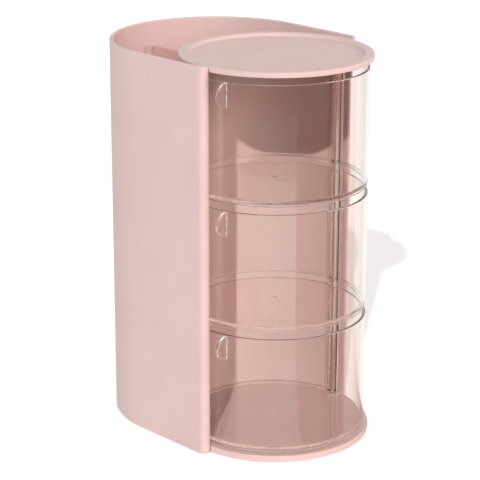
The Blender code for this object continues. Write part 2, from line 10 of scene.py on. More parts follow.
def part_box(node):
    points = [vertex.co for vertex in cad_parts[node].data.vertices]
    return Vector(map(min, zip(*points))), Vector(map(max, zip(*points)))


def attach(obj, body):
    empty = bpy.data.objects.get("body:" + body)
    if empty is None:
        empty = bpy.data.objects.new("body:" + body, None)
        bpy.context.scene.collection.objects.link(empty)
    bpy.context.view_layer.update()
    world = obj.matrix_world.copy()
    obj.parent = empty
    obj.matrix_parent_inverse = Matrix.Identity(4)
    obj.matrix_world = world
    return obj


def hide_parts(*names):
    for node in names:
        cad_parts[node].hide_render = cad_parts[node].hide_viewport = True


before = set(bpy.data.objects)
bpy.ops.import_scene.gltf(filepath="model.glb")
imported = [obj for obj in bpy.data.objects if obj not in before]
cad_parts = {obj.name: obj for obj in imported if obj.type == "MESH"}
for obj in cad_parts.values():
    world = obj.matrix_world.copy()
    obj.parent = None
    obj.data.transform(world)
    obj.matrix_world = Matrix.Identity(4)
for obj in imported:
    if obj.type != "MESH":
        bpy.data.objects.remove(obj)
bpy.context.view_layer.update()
MM = 0.001
TIERS = ("bottom", "middle", "top")
# The screws and the foot pads are numbered alike
CORNERS = range(1, 5)

# Read from the frame, so that every piece sits where the solids are
LID_LOW, LID_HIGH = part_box("lid")
ROD_LOW, ROD_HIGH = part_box("pivot_rod")
HOUSING_LOW, HOUSING_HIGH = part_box("housing")
CENTRE = Vector(((LID_LOW.x + LID_HIGH.x) / 2, (LID_LOW.y + LID_HIGH.y) / 2, 0))
PIVOT = Vector(((ROD_LOW.x + ROD_HIGH.x) / 2, (ROD_LOW.y + ROD_HIGH.y) / 2, 0))
HALF_WIDTH = (HOUSING_HIGH.x - HOUSING_LOW.x) / 2
BACK_CENTRE = Vector((0, HOUSING_HIGH.y - HALF_WIDTH, 0))

# Between pieces that seat on each other, and how far a cut or a moulded rib
# reaches past a face
SEAT_GAP = 0.3 * MM
OVERRUN = 1 * MM


# Materials

# Most of a noise lies between these values
NOISE_RANGE = {"From Min": 0.35, "From Max": 0.65}
WHITE = "#FFFFFF"


def linear(colour):
    channels = [int(colour[i:i + 2], 16) / 255 for i in (1, 3, 5)]
    return [c / 12.92 if c <= 0.04045 else ((c + 0.055) / 1.055) ** 2.4 for c in channels] + [1]


def add_node(tree, kind, settings=None, links=None, values=None):
    # A link may come from a socket, or from a node's first output
    node = tree.nodes.new(kind)
    for key, value in (settings or {}).items():
        setattr(node, key, value)
    for key, value in (values or {}).items():
        node.inputs[key].default_value = value
    for key, source in (links or {}).items():
        socket = source.outputs[0] if isinstance(source, bpy.types.Node) else source
        tree.links.new(socket, node.inputs[key])
    return node


def new_material(name):
    material = bpy.data.materials.new(name)
    material.use_nodes = True
    tree = material.node_tree
    tree.nodes.clear()
    return material, tree, add_node(tree, "ShaderNodeTexCoord").outputs["Object"]


def mottled(tree, pattern, low_colour, high_colour):
    # A colour that goes from one to the other with the pattern
    share = add_node(
        tree, "ShaderNodeMapRange", links={"Value": pattern}, values={**NOISE_RANGE, "To Min": 0, "To Max": 1}
    )
    mix = add_node(
        tree, "ShaderNodeMix", {"data_type": "RGBA"}, {"Factor": share},
        {"A": linear(low_colour), "B": linear(high_colour)},
    )
    return mix.outputs["Result"]


def moulded_abs(name, low_colour, high_colour):
    # ABS, injection moulded in a spark-eroded tool: an even satin pink with a
    # soft broad sheen, a grain of about half a millimetre that only breaks up
    # the highlight, and a faint cloudiness from the flow of the plastic
    material, tree, place = new_material(name)
    cloud_size, wear_size, grain_size = 45 * MM, 9 * MM, 0.7 * MM
    cloud = add_node(
        tree, "ShaderNodeTexNoise", links={"Vector": place}, values={"Scale": 1 / cloud_size, "Detail": 3}
    )
    wear = add_node(
        tree, "ShaderNodeTexNoise", links={"Vector": place}, values={"Scale": 1 / wear_size, "Detail": 4}
    )
    grain = add_node(
        tree, "ShaderNodeTexNoise", links={"Vector": place},
        values={"Scale": 1 / grain_size, "Detail": 2, "Roughness": 0.6},
    )
    colour = mottled(tree, cloud, low_colour, high_colour)
    rough = add_node(
        tree, "ShaderNodeMapRange", links={"Value": wear},
        values={**NOISE_RANGE, "To Min": 0.40, "To Max": 0.48},
    )
    bumps = add_node(tree, "ShaderNodeBump", links={"Height": grain}, values={"Distance": 0.02 * MM})
    shader = add_node(
        tree, "ShaderNodeBsdfPrincipled",
        links={"Base Color": colour, "Roughness": rough, "Normal": bumps},
        values={"IOR": 1.53},
    )
    add_node(tree, "ShaderNodeOutputMaterial", links={"Surface": shader})
    return material


def clear_styrene(name):
    # Polystyrene, injection moulded in a polished tool: water-clear with a
    # warm tint, sharp reflections, and a very slow ripple where it cooled.
    # Lamp light passes straight through to what stands behind it
    material, tree, place = new_material(name)
    ripple_size, haze_size = 22 * MM, 14 * MM
    ripple = add_node(
        tree, "ShaderNodeTexNoise", links={"Vector": place}, values={"Scale": 1 / ripple_size, "Detail": 1}
    )
    haze = add_node(
        tree, "ShaderNodeTexNoise", links={"Vector": place}, values={"Scale": 1 / haze_size, "Detail": 3}
    )
    rough = add_node(
        tree, "ShaderNodeMapRange", links={"Value": haze},
        values={**NOISE_RANGE, "To Min": 0, "To Max": 0.008},
    )
    waves = add_node(tree, "ShaderNodeBump", links={"Height": ripple}, values={"Distance": 0.006 * MM})
    shader = add_node(
        tree, "ShaderNodeBsdfPrincipled",
        links={"Roughness": rough, "Normal": waves},
        values={"Base Color": linear("#FCF8F5"), "Transmission Weight": 1, "IOR": 1.5,
                "Specular IOR Level": 0.32},
    )
    passed = add_node(tree, "ShaderNodeBsdfTransparent", values={"Color": linear(WHITE)})
    path = add_node(tree, "ShaderNodeLightPath")
    mix = add_node(
        tree, "ShaderNodeMixShader", links={0: path.outputs["Is Shadow Ray"], 1: shader, 2: passed}
    )
    add_node(tree, "ShaderNodeOutputMaterial", links={"Surface": mix})
    return material


def polished_steel(name):
    # Stainless steel, ground and polished on a lathe: mirror bright, with hair
    # lines round it, drawn a few tenths of a millimetre apart so that they
    # show, which only soften the reflection
    material, tree, place = new_material(name)
    line_length, line_stretch = 5 * MM, 14
    turned = add_node(
        tree, "ShaderNodeMapping", links={"Vector": place}, values={"Scale": (1, 1, line_stretch)}
    )
    lines = add_node(
        tree, "ShaderNodeTexNoise", links={"Vector": turned}, values={"Scale": 1 / line_length, "Detail": 3}
    )
    rough = add_node(
        tree, "ShaderNodeMapRange", links={"Value": lines},
        values={**NOISE_RANGE, "To Min": 0.07, "To Max": 0.16},
    )
    grooves = add_node(tree, "ShaderNodeBump", links={"Height": lines}, values={"Distance": 0.01 * MM})
    shader = add_node(
        tree, "ShaderNodeBsdfPrincipled",
        links={"Roughness": rough, "Normal": grooves},
        values={"Base Color": linear("#DAD8D4"), "Metallic": 1},
    )
    add_node(tree, "ShaderNodeOutputMaterial", links={"Surface": shader})
    return material


def zinc_steel(name):
    # Zinc plated steel, barrelled: grey, dull bright, faintly mottled
    material, tree, place = new_material(name)
    spot_size = 0.8 * MM
    spots = add_node(
        tree, "ShaderNodeTexNoise", links={"Vector": place}, values={"Scale": 1 / spot_size, "Detail": 3}
    )
    colour = mottled(tree, spots, "#A8A9A6", "#BDBEBB")
    rough = add_node(
        tree, "ShaderNodeMapRange", links={"Value": spots},
        values={**NOISE_RANGE, "To Min": 0.25, "To Max": 0.42},
    )
    shader = add_node(
        tree, "ShaderNodeBsdfPrincipled",
        links={"Base Color": colour, "Roughness": rough},
        values={"Metallic": 1},
    )
    add_node(tree, "ShaderNodeOutputMaterial", links={"Surface": shader})
    return material


def moulded_rubber(name):
    # Silicone rubber, pressed: matt warm grey with a fine tooth
    material, tree, place = new_material(name)
    tooth_size = 0.5 * MM
    tooth = add_node(
        tree, "ShaderNodeTexNoise", links={"Vector": place}, values={"Scale": 1 / tooth_size, "Detail": 2}
    )
    colour = mottled(tree, tooth, "#A19B97", "#B2ACA8")
    bumps = add_node(tree, "ShaderNodeBump", links={"Height": tooth}, values={"Distance": 0.05 * MM})
    shader = add_node(
        tree, "ShaderNodeBsdfPrincipled",
        links={"Base Color": colour, "Normal": bumps},
        values={"Roughness": 0.78, "IOR": 1.43},
    )
    add_node(tree, "ShaderNodeOutputMaterial", links={"Surface": shader})
    return material


def acetal(name):
    # Acetal, punched from sheet: milky white and waxy
    material, tree, place = new_material(name)
    wax_size = 2 * MM
    wax = add_node(
        tree, "ShaderNodeTexNoise", links={"Vector": place}, values={"Scale": 1 / wax_size, "Detail": 2}
    )
    colour = mottled(tree, wax, "#E6E3DC", "#EFEDE7")
    rough = add_node(
        tree, "ShaderNodeMapRange", links={"Value": wax},
        values={**NOISE_RANGE, "To Min": 0.3, "To Max": 0.4},
    )
    shader = add_node(
        tree, "ShaderNodeBsdfPrincipled",
        links={"Base Color": colour, "Roughness": rough},
        values={"IOR": 1.48, "Subsurface Weight": 0.1, "Subsurface Scale": 1 * MM},
    )
    add_node(tree, "ShaderNodeOutputMaterial", links={"Surface": shader})
    return material


# Modelling helpers

# Points nearer than this become one, and edges that rise less than this are level
MERGE = 0.002 * MM
LEVEL = 0.01 * MM
# Faces that meet at less than the first angle are shaded as one, and an edge
# sharper than the second, in radians, is a rim
SMOOTH_ANGLE = math.radians(35)
RIM_ANGLE = 1
CORNER_SEGMENTS = 5
HALF_TURN_STEPS = 48
LEAST_STEPS = 4
# How far wide faces keep their direction beside narrow ones, out of 100
FACE_WEIGHT = 80
PIECES = []


def finish_piece(name, bm, material, body, *nodes):
    bmesh.ops.remove_doubles(bm, verts=bm.verts, dist=MERGE)
    bmesh.ops.recalc_face_normals(bm, faces=bm.faces)
    mesh = bpy.data.meshes.new(name)
    bm.to_mesh(mesh)
    bm.free()
    mesh.shade_smooth()
    mesh.set_sharp_from_angle(angle=SMOOTH_ANGLE)
    mesh.materials.append(material)
    obj = bpy.data.objects.new(name, mesh)
    bpy.context.scene.collection.objects.link(obj)
    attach(obj, body)
    PIECES.append(obj)
    if nodes:
        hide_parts(*nodes)
    return obj


def bevel(bm, geom, offset, segments, affect="EDGES", clamp_overlap=False):
    bmesh.ops.bevel(
        bm,
        geom=geom,
        offset=offset,
        offset_type="OFFSET",
        segments=segments,
        profile=0.5,
        affect=affect,
        material=-1,
        clamp_overlap=clamp_overlap,
    )


def chain(bm, corners, closed):
    # A line of vertices through (x, y, z, rounding) corners, with the corners
    # rounded off by a vertex bevel
    verts = [bm.verts.new(corner[:3]) for corner in corners]
    pairs = list(zip(verts, verts[1:]))
    if closed:
        pairs.append((verts[-1], verts[0]))
    for pair in pairs:
        bm.edges.new(pair)
    for vert, corner in zip(verts, corners):
        if corner[3]:
            bevel(bm, [vert], corner[3], CORNER_SEGMENTS, affect="VERTICES")


def turn(bm, corners, centre, steps, closed=False):
    # Turns a profile of (radius, height, rounding) corners about an upright
    # axis through the centre
    places = [(centre.x + r, centre.y, z, rounding) for r, z, rounding in corners]
    chain(bm, places, closed)
    bmesh.ops.spin(
        bm,
        geom=bm.verts[:] + bm.edges[:],
        cent=(centre.x, centre.y, 0),
        axis=(0, 0, 1),
        angle=2 * math.pi,
        steps=steps,
        use_merge=True,
    )


def trace(bm, start, moves):
    # Draws a line of edges from the start: a point to go straight to, or a
    # centre and an angle to turn through
    vert = bm.verts.new(start)
    for move in moves:
        if len(move) == 3:
            made = bmesh.ops.extrude_vert_indiv(bm, verts=[vert])
            vert = made["verts"][0]
            vert.co = Vector(move)
        else:
            centre, angle = move
            steps = max(LEAST_STEPS, round(abs(angle) * HALF_TURN_STEPS / math.pi))
            made = bmesh.ops.spin(
                bm, geom=[vert], cent=centre, axis=(0, 0, 1), angle=angle, steps=steps
            )
            vert = [v for v in made["geom_last"] if isinstance(v, bmesh.types.BMVert)][0]


def slab(bm, start, moves, bottom, top, edge=0.0, edge_segments=2):
    # A closed outline drawn at the bottom, filled and raised to the top, with
    # its two rims rounded
    first = Vector((start[0], start[1], bottom))
    flat = []
    for move in moves:
        if len(move) == 3:
            flat.append((move[0], move[1], bottom))
        else:
            flat.append((Vector((move[0][0], move[0][1], bottom)), move[1]))
    old = set(bm.verts)
    trace(bm, first, flat)
    made = [v for v in bm.verts if v not in old]
    bmesh.ops.remove_doubles(bm, verts=made, dist=MERGE)
    made = [v for v in bm.verts if v not in old]
    edges = [e for e in bm.edges if e.verts[0] in made]
    ends = [v for v in made if len(v.link_edges) == 1]
    if len(ends) == 2:
        edges.append(bm.edges.new(ends))
    face = bmesh.ops.contextual_create(bm, geom=edges)["faces"][0]
    raised = bmesh.ops.extrude_face_region(bm, geom=[face])
    lifted = [v for v in raised["geom"] if isinstance(v, bmesh.types.BMVert)]
    bmesh.ops.translate(bm, verts=lifted, vec=(0, 0, top - bottom))
    if edge:
        new = set(made) | set(lifted)
        rims = [
            e for e in bm.edges
            if set(e.verts) <= new and abs(e.verts[0].co.z - e.verts[1].co.z) < LEVEL
        ]
        bevel(bm, rims, edge, edge_segments, clamp_overlap=True)


def block(bm, low, high, edge=0.0):
    made = bmesh.ops.create_cube(bm, size=1)["verts"]
    low, high = Vector(low), Vector(high)
    bmesh.ops.scale(bm, verts=made, vec=high - low)
    bmesh.ops.translate(bm, verts=made, vec=(high + low) / 2)
    if edge:
        corners = set(made)
        bevel(bm, [e for e in bm.edges if corners.issuperset(e.verts)], edge, segments=2)


def post(bm, radius, x, y, bottom, top, segments=64):
    made = bmesh.ops.create_cone(
        bm, cap_ends=True, segments=segments, radius1=radius, radius2=radius, depth=top - bottom
    )
    bmesh.ops.translate(bm, verts=made["verts"], vec=(x, y, (top + bottom) / 2))


def bake(obj):
    # Puts what the modifiers make into the mesh
    bpy.context.view_layer.update()
    old = obj.data
    result = bpy.data.meshes.new_from_object(obj.evaluated_get(bpy.context.evaluated_depsgraph_get()))
    obj.modifiers.clear()
    obj.data = result
    bpy.data.meshes.remove(old)
    result.name = obj.name


def boolean(obj, cutter_bm, operation):
    # Joins or cuts with a second shape, and keeps only the result
    mesh = bpy.data.meshes.new("tool")
    bmesh.ops.remove_doubles(cutter_bm, verts=cutter_bm.verts, dist=MERGE)
    bmesh.ops.recalc_face_normals(cutter_bm, faces=cutter_bm.faces)
    cutter_bm.to_mesh(mesh)
    cutter_bm.free()
    tool = bpy.data.objects.new("tool", mesh)
    bpy.context.scene.collection.objects.link(tool)
    modifier = obj.modifiers.new("shape", "BOOLEAN")
    modifier.operation = operation
    modifier.solver = "EXACT"
    modifier.object = tool
    bake(obj)
    bpy.data.objects.remove(tool)
    bpy.data.meshes.remove(mesh)
    obj.data.set_sharp_from_angle(angle=SMOOTH_ANGLE)


def steady_normals():
    # Wide faces keep their own direction up to their rounded edges, so that
    # nothing seen in them or through them bends
    for obj in PIECES:
        modifier = obj.modifiers.new("normals", "WEIGHTED_NORMAL")
        modifier.mode = "FACE_AREA"
        modifier.weight = FACE_WEIGHT
        modifier.keep_sharp = True
        bake(obj)


# Housing, panel and divider

HOUSING_WALL = 3 * MM
HOUSING_EDGE = 0.8 * MM
INNER_HALF_WIDTH = HALF_WIDTH - HOUSING_WALL
# The round nose at its left front end and the rounded right end, from the
# drawers' centre line
NOSE_RADIUS = 4.85 * MM
NOSE_FORWARD = 2.15 * MM
NOSE_BACK = 1.5 * MM
RIGHT_END_FORWARD = 3.5 * MM
NOSE_CENTRE = Vector((NOSE_RADIUS - HALF_WIDTH, CENTRE.y - NOSE_FORWARD, 0))
NOSE_BACK_Y = CENTRE.y + NOSE_BACK
RIGHT_END_Y = CENTRE.y - RIGHT_END_FORWARD
# The other pieces keep clear of the nose in a notch
NOTCH_RADIUS = NOSE_RADIUS + SEAT_GAP
NOTCH_BACK_Y = NOSE_BACK_Y + SEAT_GAP

PANEL_INNER = 71 * MM
PANEL_OUTER = 73.2 * MM
PANEL_EDGE = 0.3 * MM
# How far the panel's ends lie behind the drawers' centre line
PANEL_RIGHT_END = 11.3 * MM
PANEL_LEFT_END = 1.8 * MM

# How far the web lies behind the drawers' centre line
WEB_BEHIND = 8.5 * MM
WEB_THICKNESS = 2.5 * MM
KEEPER_THICKNESS = 1.5 * MM
KEEPER_REACH = 4.5 * MM
KEEPER_EDGE = 0.2 * MM
DIVIDER_CORNER = 3 * MM
DIVIDER_EDGE = 0.4 * MM
# The divider's guides, beside the middle line
GUIDE_NEAR = 1.3 * MM
GUIDE_FAR = 3.3 * MM
GUIDE_REACH = 6 * MM
RIB_EDGE = 0.3 * MM
POST_RADIUS = 5.5 * MM
POST_PLACES = ((73 * MM, CENTRE.y + 44 * MM), (36.5 * MM, BACK_CENTRE.y + 63.2 * MM))


def on_circle(radius, y):
    # How far out a circle round the drawers' centre line is at that depth
    return math.sqrt(radius ** 2 - (y - CENTRE.y) ** 2)


def around(radius, angle):
    # The point of such a circle at that angle
    return CENTRE + radius * Vector((math.cos(angle), math.sin(angle), 0))


def build_housing(pink):
    end = HOUSING_WALL / 2
    moves = [
        (HALF_WIDTH, BACK_CENTRE.y, 0),
        (BACK_CENTRE, math.pi),
        (-HALF_WIDTH, NOSE_CENTRE.y, 0),
        (NOSE_CENTRE, math.pi),
        (NOSE_CENTRE.x + NOSE_RADIUS, NOSE_BACK_Y, 0),
        (-INNER_HALF_WIDTH, NOSE_BACK_Y, 0),
        (-INNER_HALF_WIDTH, BACK_CENTRE.y, 0),
        (BACK_CENTRE, -math.pi),
        (INNER_HALF_WIDTH, RIGHT_END_Y, 0),
        (Vector((INNER_HALF_WIDTH + end, RIGHT_END_Y, 0)), math.pi),
    ]
    bm = bmesh.new()
    slab(bm, (HALF_WIDTH, RIGHT_END_Y), moves, HOUSING_LOW.z, HOUSING_HIGH.z, HOUSING_EDGE, edge_segments=4)
    finish_piece("housing_shell", bm, pink, "body", "housing")


def guide(bm, side, front, back):
    # One of the two ribs that hold an edge of the divider between them
    low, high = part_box("divider")
    left, right = sorted((side * GUIDE_NEAR, side * GUIDE_FAR))
    block(bm, (left, front, low.z), (right, back, high.z), RIB_EDGE)


def build_housing_seats(pink):
    # The web and keepers that hold the panel's ends, the divider's guides and
    # the screw posts, all moulded on the inside of the housing
    low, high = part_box("back_panel")
    floor_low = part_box("well_floor")[0]
    bm = bmesh.new()
    web_front = CENTRE.y + WEB_BEHIND
    web_back = web_front + WEB_THICKNESS
    web_left = on_circle(PANEL_INNER, web_front) + SEAT_GAP
    wall = HALF_WIDTH - HOUSING_WALL / 2
    block(bm, (web_left, web_front, low.z), (wall, web_back, high.z), RIB_EDGE)
    right = on_circle(PANEL_OUTER + SEAT_GAP, web_back)
    left = -(PANEL_OUTER + SEAT_GAP + KEEPER_THICKNESS)
    for x, y in ((right, web_back), (left, NOSE_BACK_Y)):
        near = (x, y - OVERRUN, low.z)
        far = (x + KEEPER_THICKNESS, y + KEEPER_REACH, high.z)
        block(bm, near, far, KEEPER_EDGE)
    back = HOUSING_HIGH.y - HOUSING_WALL
    for side in (-1, 1):
        guide(bm, side, back - GUIDE_REACH, back + OVERRUN)
        for x, y in POST_PLACES:
            post(bm, POST_RADIUS, side * x, y, low.z, floor_low.z, segments=48)
    finish_piece("housing_seats", bm, pink, "body")


def build_panel(pink):
    low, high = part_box("back_panel")
    right = math.asin(PANEL_RIGHT_END / PANEL_OUTER)
    left = math.pi - math.asin(PANEL_LEFT_END / PANEL_OUTER)
    sweep = left - right
    moves = [(CENTRE, sweep), tuple(around(PANEL_INNER, left)), (CENTRE, -sweep)]
    bm = bmesh.new()
    slab(bm, around(PANEL_OUTER, right), moves, low.z, high.z, PANEL_EDGE)
    finish_piece("curved_panel", bm, pink, "body", "back_panel")
    guides = bmesh.new()
    back = CENTRE.y + PANEL_OUTER
    for side in (-1, 1):
        guide(guides, side, back - OVERRUN, back + GUIDE_REACH)
    finish_piece("panel_guides", guides, pink, "body")


def build_divider(pink):
    low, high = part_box("divider")
    bm = bmesh.new()
    block(bm, low, high)
    top_corners = [
        e for e in bm.edges
        if min(v.co.z for v in e.verts) > high.z - LEVEL
        and abs(e.verts[0].co.x - e.verts[1].co.x) > LEVEL
    ]
    bevel(bm, top_corners, DIVIDER_CORNER, segments=8)
    rims = [e for e in bm.edges if e.calc_face_angle(0) > RIM_ANGLE]
    bevel(bm, rims, DIVIDER_EDGE, segments=2)
    finish_piece("well_divider", bm, pink, "body", "divider")


# Base, its screws and the lid

BASE_RADIUS = 73.4 * MM
BASE_EDGE = 0.9 * MM
# How far in front of the drawers' centre line the base turns out to the right
BASE_STEP = 3.2 * MM
# How far round the nose the base's notch goes, in radians, and where it then
# comes out on the round edge, from the drawers' centre line
NOTCH_TURN = -0.93
NOTCH_END = Vector((-73.12, -6.46, 0)) * MM

SCREW_TIP = 1.3 * MM
SCREW_SHANK = 1.4 * MM
SCREW_HEAD = 2.8 * MM
SCREW_TIP_EDGE = 0.3 * MM
SCREW_HEAD_EDGE = 0.1 * MM
# Heights above the head's face, of the head and of the hole that it sinks into
HEAD_RIM = 0.3 * MM
HEAD_TOP = 1.7 * MM
SINK_RIM = 0.4 * MM
SINK_TOP = 2.1 * MM
# The cross recess, its arms from the middle
CROSS_REACH = 1.5 * MM
CROSS_SIDE = 0.35 * MM
CROSS_DEPTH = 1.1 * MM

LID_RADIUS = 73 * MM
LID_DROP = 4.9 * MM
LID_TOP_ROUND = 1.3 * MM
LID_FOOT_ROUND = 0.6 * MM
TRAY_DEPTH = 2.2 * MM
TRAY_ROUND = 0.7 * MM
# The raised rim's width at its foot and at its top
RIM_FOOT = 8 * MM
RIM_TOP = 7.2 * MM
# The lip under the lid that holds the panel's top
LIP_THICKNESS = 1.8 * MM
LIP_HEIGHT = 2.5 * MM
LIP_EDGE = 0.2 * MM
LIP_START = math.radians(28)
LIP_SWEEP = math.radians(124)


def build_base(pink):
    low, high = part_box("base")
    step = math.asin(BASE_STEP / BASE_RADIUS)
    step_y = CENTRE.y - BASE_STEP
    notch_end = math.atan2(NOTCH_END.y, NOTCH_END.x) + 2 * math.pi
    moves = [
        (high.x, step_y, 0),
        (high.x, BACK_CENTRE.y, 0),
        (BACK_CENTRE, math.pi),
        (-high.x, NOTCH_BACK_Y, 0),
        (NOSE_CENTRE.x + NOTCH_RADIUS, NOTCH_BACK_Y, 0),
        (NOSE_CENTRE.x + NOTCH_RADIUS, NOSE_CENTRE.y, 0),
        (NOSE_CENTRE, NOTCH_TURN),
        tuple(around(BASE_RADIUS, notch_end)),
        (CENTRE, 2 * math.pi - step - notch_end),
    ]
    bm = bmesh.new()
    slab(bm, (BASE_RADIUS * math.cos(step), step_y), moves, low.z, high.z, BASE_EDGE, edge_segments=4)
    piece = finish_piece("foot_plate", bm, pink, "body", "base")
    # Countersunk holes, so that the screws show from below
    for number in CORNERS:
        head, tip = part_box("base_screw_%d" % number)
        corners = [
            (0, high.z + OVERRUN, 0),
            (SCREW_SHANK + SEAT_GAP, high.z + OVERRUN, 0),
            (SCREW_SHANK + SEAT_GAP, head.z + SINK_TOP, 0),
            (SCREW_HEAD + SEAT_GAP, head.z + SINK_RIM, 0),
            (SCREW_HEAD + SEAT_GAP, low.z - OVERRUN, 0),
            (0, low.z - OVERRUN, 0),
        ]
        hole = bmesh.new()
        turn(hole, corners, (head + tip) / 2, steps=48)
        boolean(piece, hole, "DIFFERENCE")


def build_screw(number, material):
    node = "base_screw_%d" % number
    low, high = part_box(node)
    centre = (low + high) / 2
    corners = [
        (0, high.z, 0),
        (SCREW_TIP, high.z, SCREW_TIP_EDGE),
        (SCREW_SHANK, low.z + HEAD_TOP, 0),
        (SCREW_HEAD, low.z + HEAD_RIM, 0),
        (SCREW_HEAD, low.z, SCREW_HEAD_EDGE),
        (0, low.z, 0),
    ]
    bm = bmesh.new()
    turn(bm, corners, centre, steps=32)
    piece = finish_piece("screw_%d" % number, bm, material, "body", node)
    for wide, deep in ((CROSS_REACH, CROSS_SIDE), (CROSS_SIDE, CROSS_REACH)):
        cross = bmesh.new()
        near = (centre.x - wide, centre.y - deep, low.z - OVERRUN)
        far = (centre.x + wide, centre.y + deep, low.z + CROSS_DEPTH)
        block(cross, near, far)
        boolean(piece, cross, "DIFFERENCE")


def build_lid(pink):
    bottom = HOUSING_HIGH.z - LID_DROP
    top = LID_HIGH.z
    corners = [
        (0, top - TRAY_DEPTH, 0),
        (LID_RADIUS - RIM_FOOT, top - TRAY_DEPTH, TRAY_ROUND),
        (LID_RADIUS - RIM_TOP, top, TRAY_ROUND),
        (LID_RADIUS, top, LID_TOP_ROUND),
        (LID_RADIUS, bottom, LID_FOOT_ROUND),
        (0, bottom, 0),
    ]
    bm = bmesh.new()
    turn(bm, corners, CENTRE, steps=192)
    piece = finish_piece("lid_tray", bm, pink, "body", "lid")
    notch = bmesh.new()
    moves = [
        (NOSE_CENTRE, math.pi),
        (NOSE_CENTRE.x + NOTCH_RADIUS, NOTCH_BACK_Y, 0),
        (NOSE_CENTRE.x - NOTCH_RADIUS, NOTCH_BACK_Y, 0),
    ]
    start = (NOSE_CENTRE.x - NOTCH_RADIUS, NOSE_CENTRE.y)
    slab(notch, start, moves, bottom - 2 * OVERRUN, top + 2 * OVERRUN)
    boolean(piece, notch, "DIFFERENCE")
    lip = bmesh.new()
    outer = PANEL_INNER - SEAT_GAP
    inner_end = around(outer - LIP_THICKNESS, LIP_START + LIP_SWEEP)
    moves = [(CENTRE, LIP_SWEEP), tuple(inner_end), (CENTRE, -LIP_SWEEP)]
    slab(lip, around(outer, LIP_START), moves, bottom - LIP_HEIGHT, bottom + OVERRUN, LIP_EDGE)
    finish_piece("lid_lip", lip, pink, "body")


# Clear drawers and their pulls

CUP_RADIUS = 70 * MM
CUP_WALL = 2.2 * MM
CUP_CORNER = 0.5 * MM
CUP_RIM_ROUND = 0.75 * MM
# Heights above the drawer's foot
FLOOR_TOP = 4 * MM
FLOOR_UNDER = 1.5 * MM
STEP_TOP = 2.6 * MM
STEP_LOW = 2.2 * MM
# The foot ring under the floor, set in from the wall
STEP_IN = 0.5 * MM
STEP_TOP_ROUND = 0.15 * MM
STEP_LOW_ROUND = 0.1 * MM
FOOT_WIDTH = 3.5 * MM
FOOT_ROUND = 0.4 * MM
# The mark of the mould's gate
GATE_RADIUS = 2 * MM
GATE_TOP_RADIUS = 1.6 * MM
GATE_HEIGHT = 0.4 * MM

ROD_RADIUS = 3 * MM
BORE_RADIUS = ROD_RADIUS + SEAT_GAP
SLEEVE_RADIUS = 5.5 * MM

PULL_THICKNESS = 2.2 * MM
PULL_REACH = 11 * MM
PULL_EDGE = 0.35 * MM
# How far its disc reaches into the wall before the wall is cut from it
PULL_BITE = 1 * MM
PULL_SEAT = math.radians(195)
PULL_TURN = math.radians(188)


def build_cup(tier, clear):
    low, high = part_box("drawer_" + tier)
    floor = low.z + FLOOR_TOP
    inner = CUP_RADIUS - CUP_WALL
    step = CUP_RADIUS - STEP_IN
    corners = [
        (0, floor + GATE_HEIGHT, 0),
        (GATE_TOP_RADIUS, floor + GATE_HEIGHT, 0),
        (GATE_RADIUS, floor, 0),
        (inner, floor, CUP_CORNER),
        (inner, high.z, CUP_RIM_ROUND),
        (CUP_RADIUS, high.z, CUP_RIM_ROUND),
        (CUP_RADIUS, low.z + STEP_TOP, STEP_TOP_ROUND),
        (step, low.z + STEP_LOW, STEP_LOW_ROUND),
        (step, low.z, FOOT_ROUND),
        (step - FOOT_WIDTH, low.z, FOOT_ROUND),
        (step - FOOT_WIDTH, low.z + FLOOR_UNDER, FOOT_ROUND),
        (0, low.z + FLOOR_UNDER, 0),
    ]
    bm = bmesh.new()
    turn(bm, corners, CENTRE, steps=160)
    cup = finish_piece("clear_drawer_" + tier, bm, clear, tier + "_drawer", "drawer_" + tier)
    sleeve = bmesh.new()
    post(sleeve, SLEEVE_RADIUS, PIVOT.x, PIVOT.y, low.z, high.z)
    boolean(cup, sleeve, "UNION")
    bore = bmesh.new()
    post(bore, BORE_RADIUS, PIVOT.x, PIVOT.y, low.z - 2 * OVERRUN, high.z + 2 * OVERRUN)
    boolean(cup, bore, "DIFFERENCE")


def build_pull(tier, clear):
    # A half-moon fin: a disc cut through, drawn out, and hollowed on its flat
    # side to the drawer's curve
    low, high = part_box("pull_" + tier)
    radius = (high.z - low.z) / 2
    outside = CUP_RADIUS + SEAT_GAP
    bm = bmesh.new()
    post(bm, radius, 0, 0, -PULL_THICKNESS / 2, PULL_THICKNESS / 2, segments=72)
    bmesh.ops.bisect_plane(
        bm, geom=bm.verts[:] + bm.edges[:] + bm.faces[:], plane_co=(0, 0, 0), plane_no=(-1, 0, 0),
        clear_outer=True,
    )
    bmesh.ops.contextual_create(bm, geom=[e for e in bm.edges if e.is_boundary])
    bmesh.ops.scale(bm, verts=bm.verts, vec=((PULL_REACH + PULL_BITE) / radius, 1, 1))
    bmesh.ops.translate(bm, verts=bm.verts, vec=(-PULL_BITE, 0, 0))
    bmesh.ops.recalc_face_normals(bm, faces=bm.faces)
    rims = [e for e in bm.edges if e.calc_face_angle(0) > RIM_ANGLE]
    bevel(bm, rims, PULL_EDGE, segments=3)
    place = around(outside, PULL_SEAT)
    place.z = (low.z + high.z) / 2
    stand = Matrix.Rotation(PULL_TURN, 4, "Z") @ Matrix.Rotation(math.pi / 2, 4, "X")
    bmesh.ops.transform(bm, matrix=Matrix.Translation(place) @ stand, verts=bm.verts)
    piece = finish_piece("finger_pull_" + tier, bm, clear, tier + "_drawer", "pull_" + tier)
    wall = bmesh.new()
    bottom, top = low.z - radius / 2, high.z + radius / 2
    post(wall, outside, CENTRE.x, CENTRE.y, bottom, top, segments=320)
    boolean(piece, wall, "DIFFERENCE")


# Rod, spacers, washer and pads

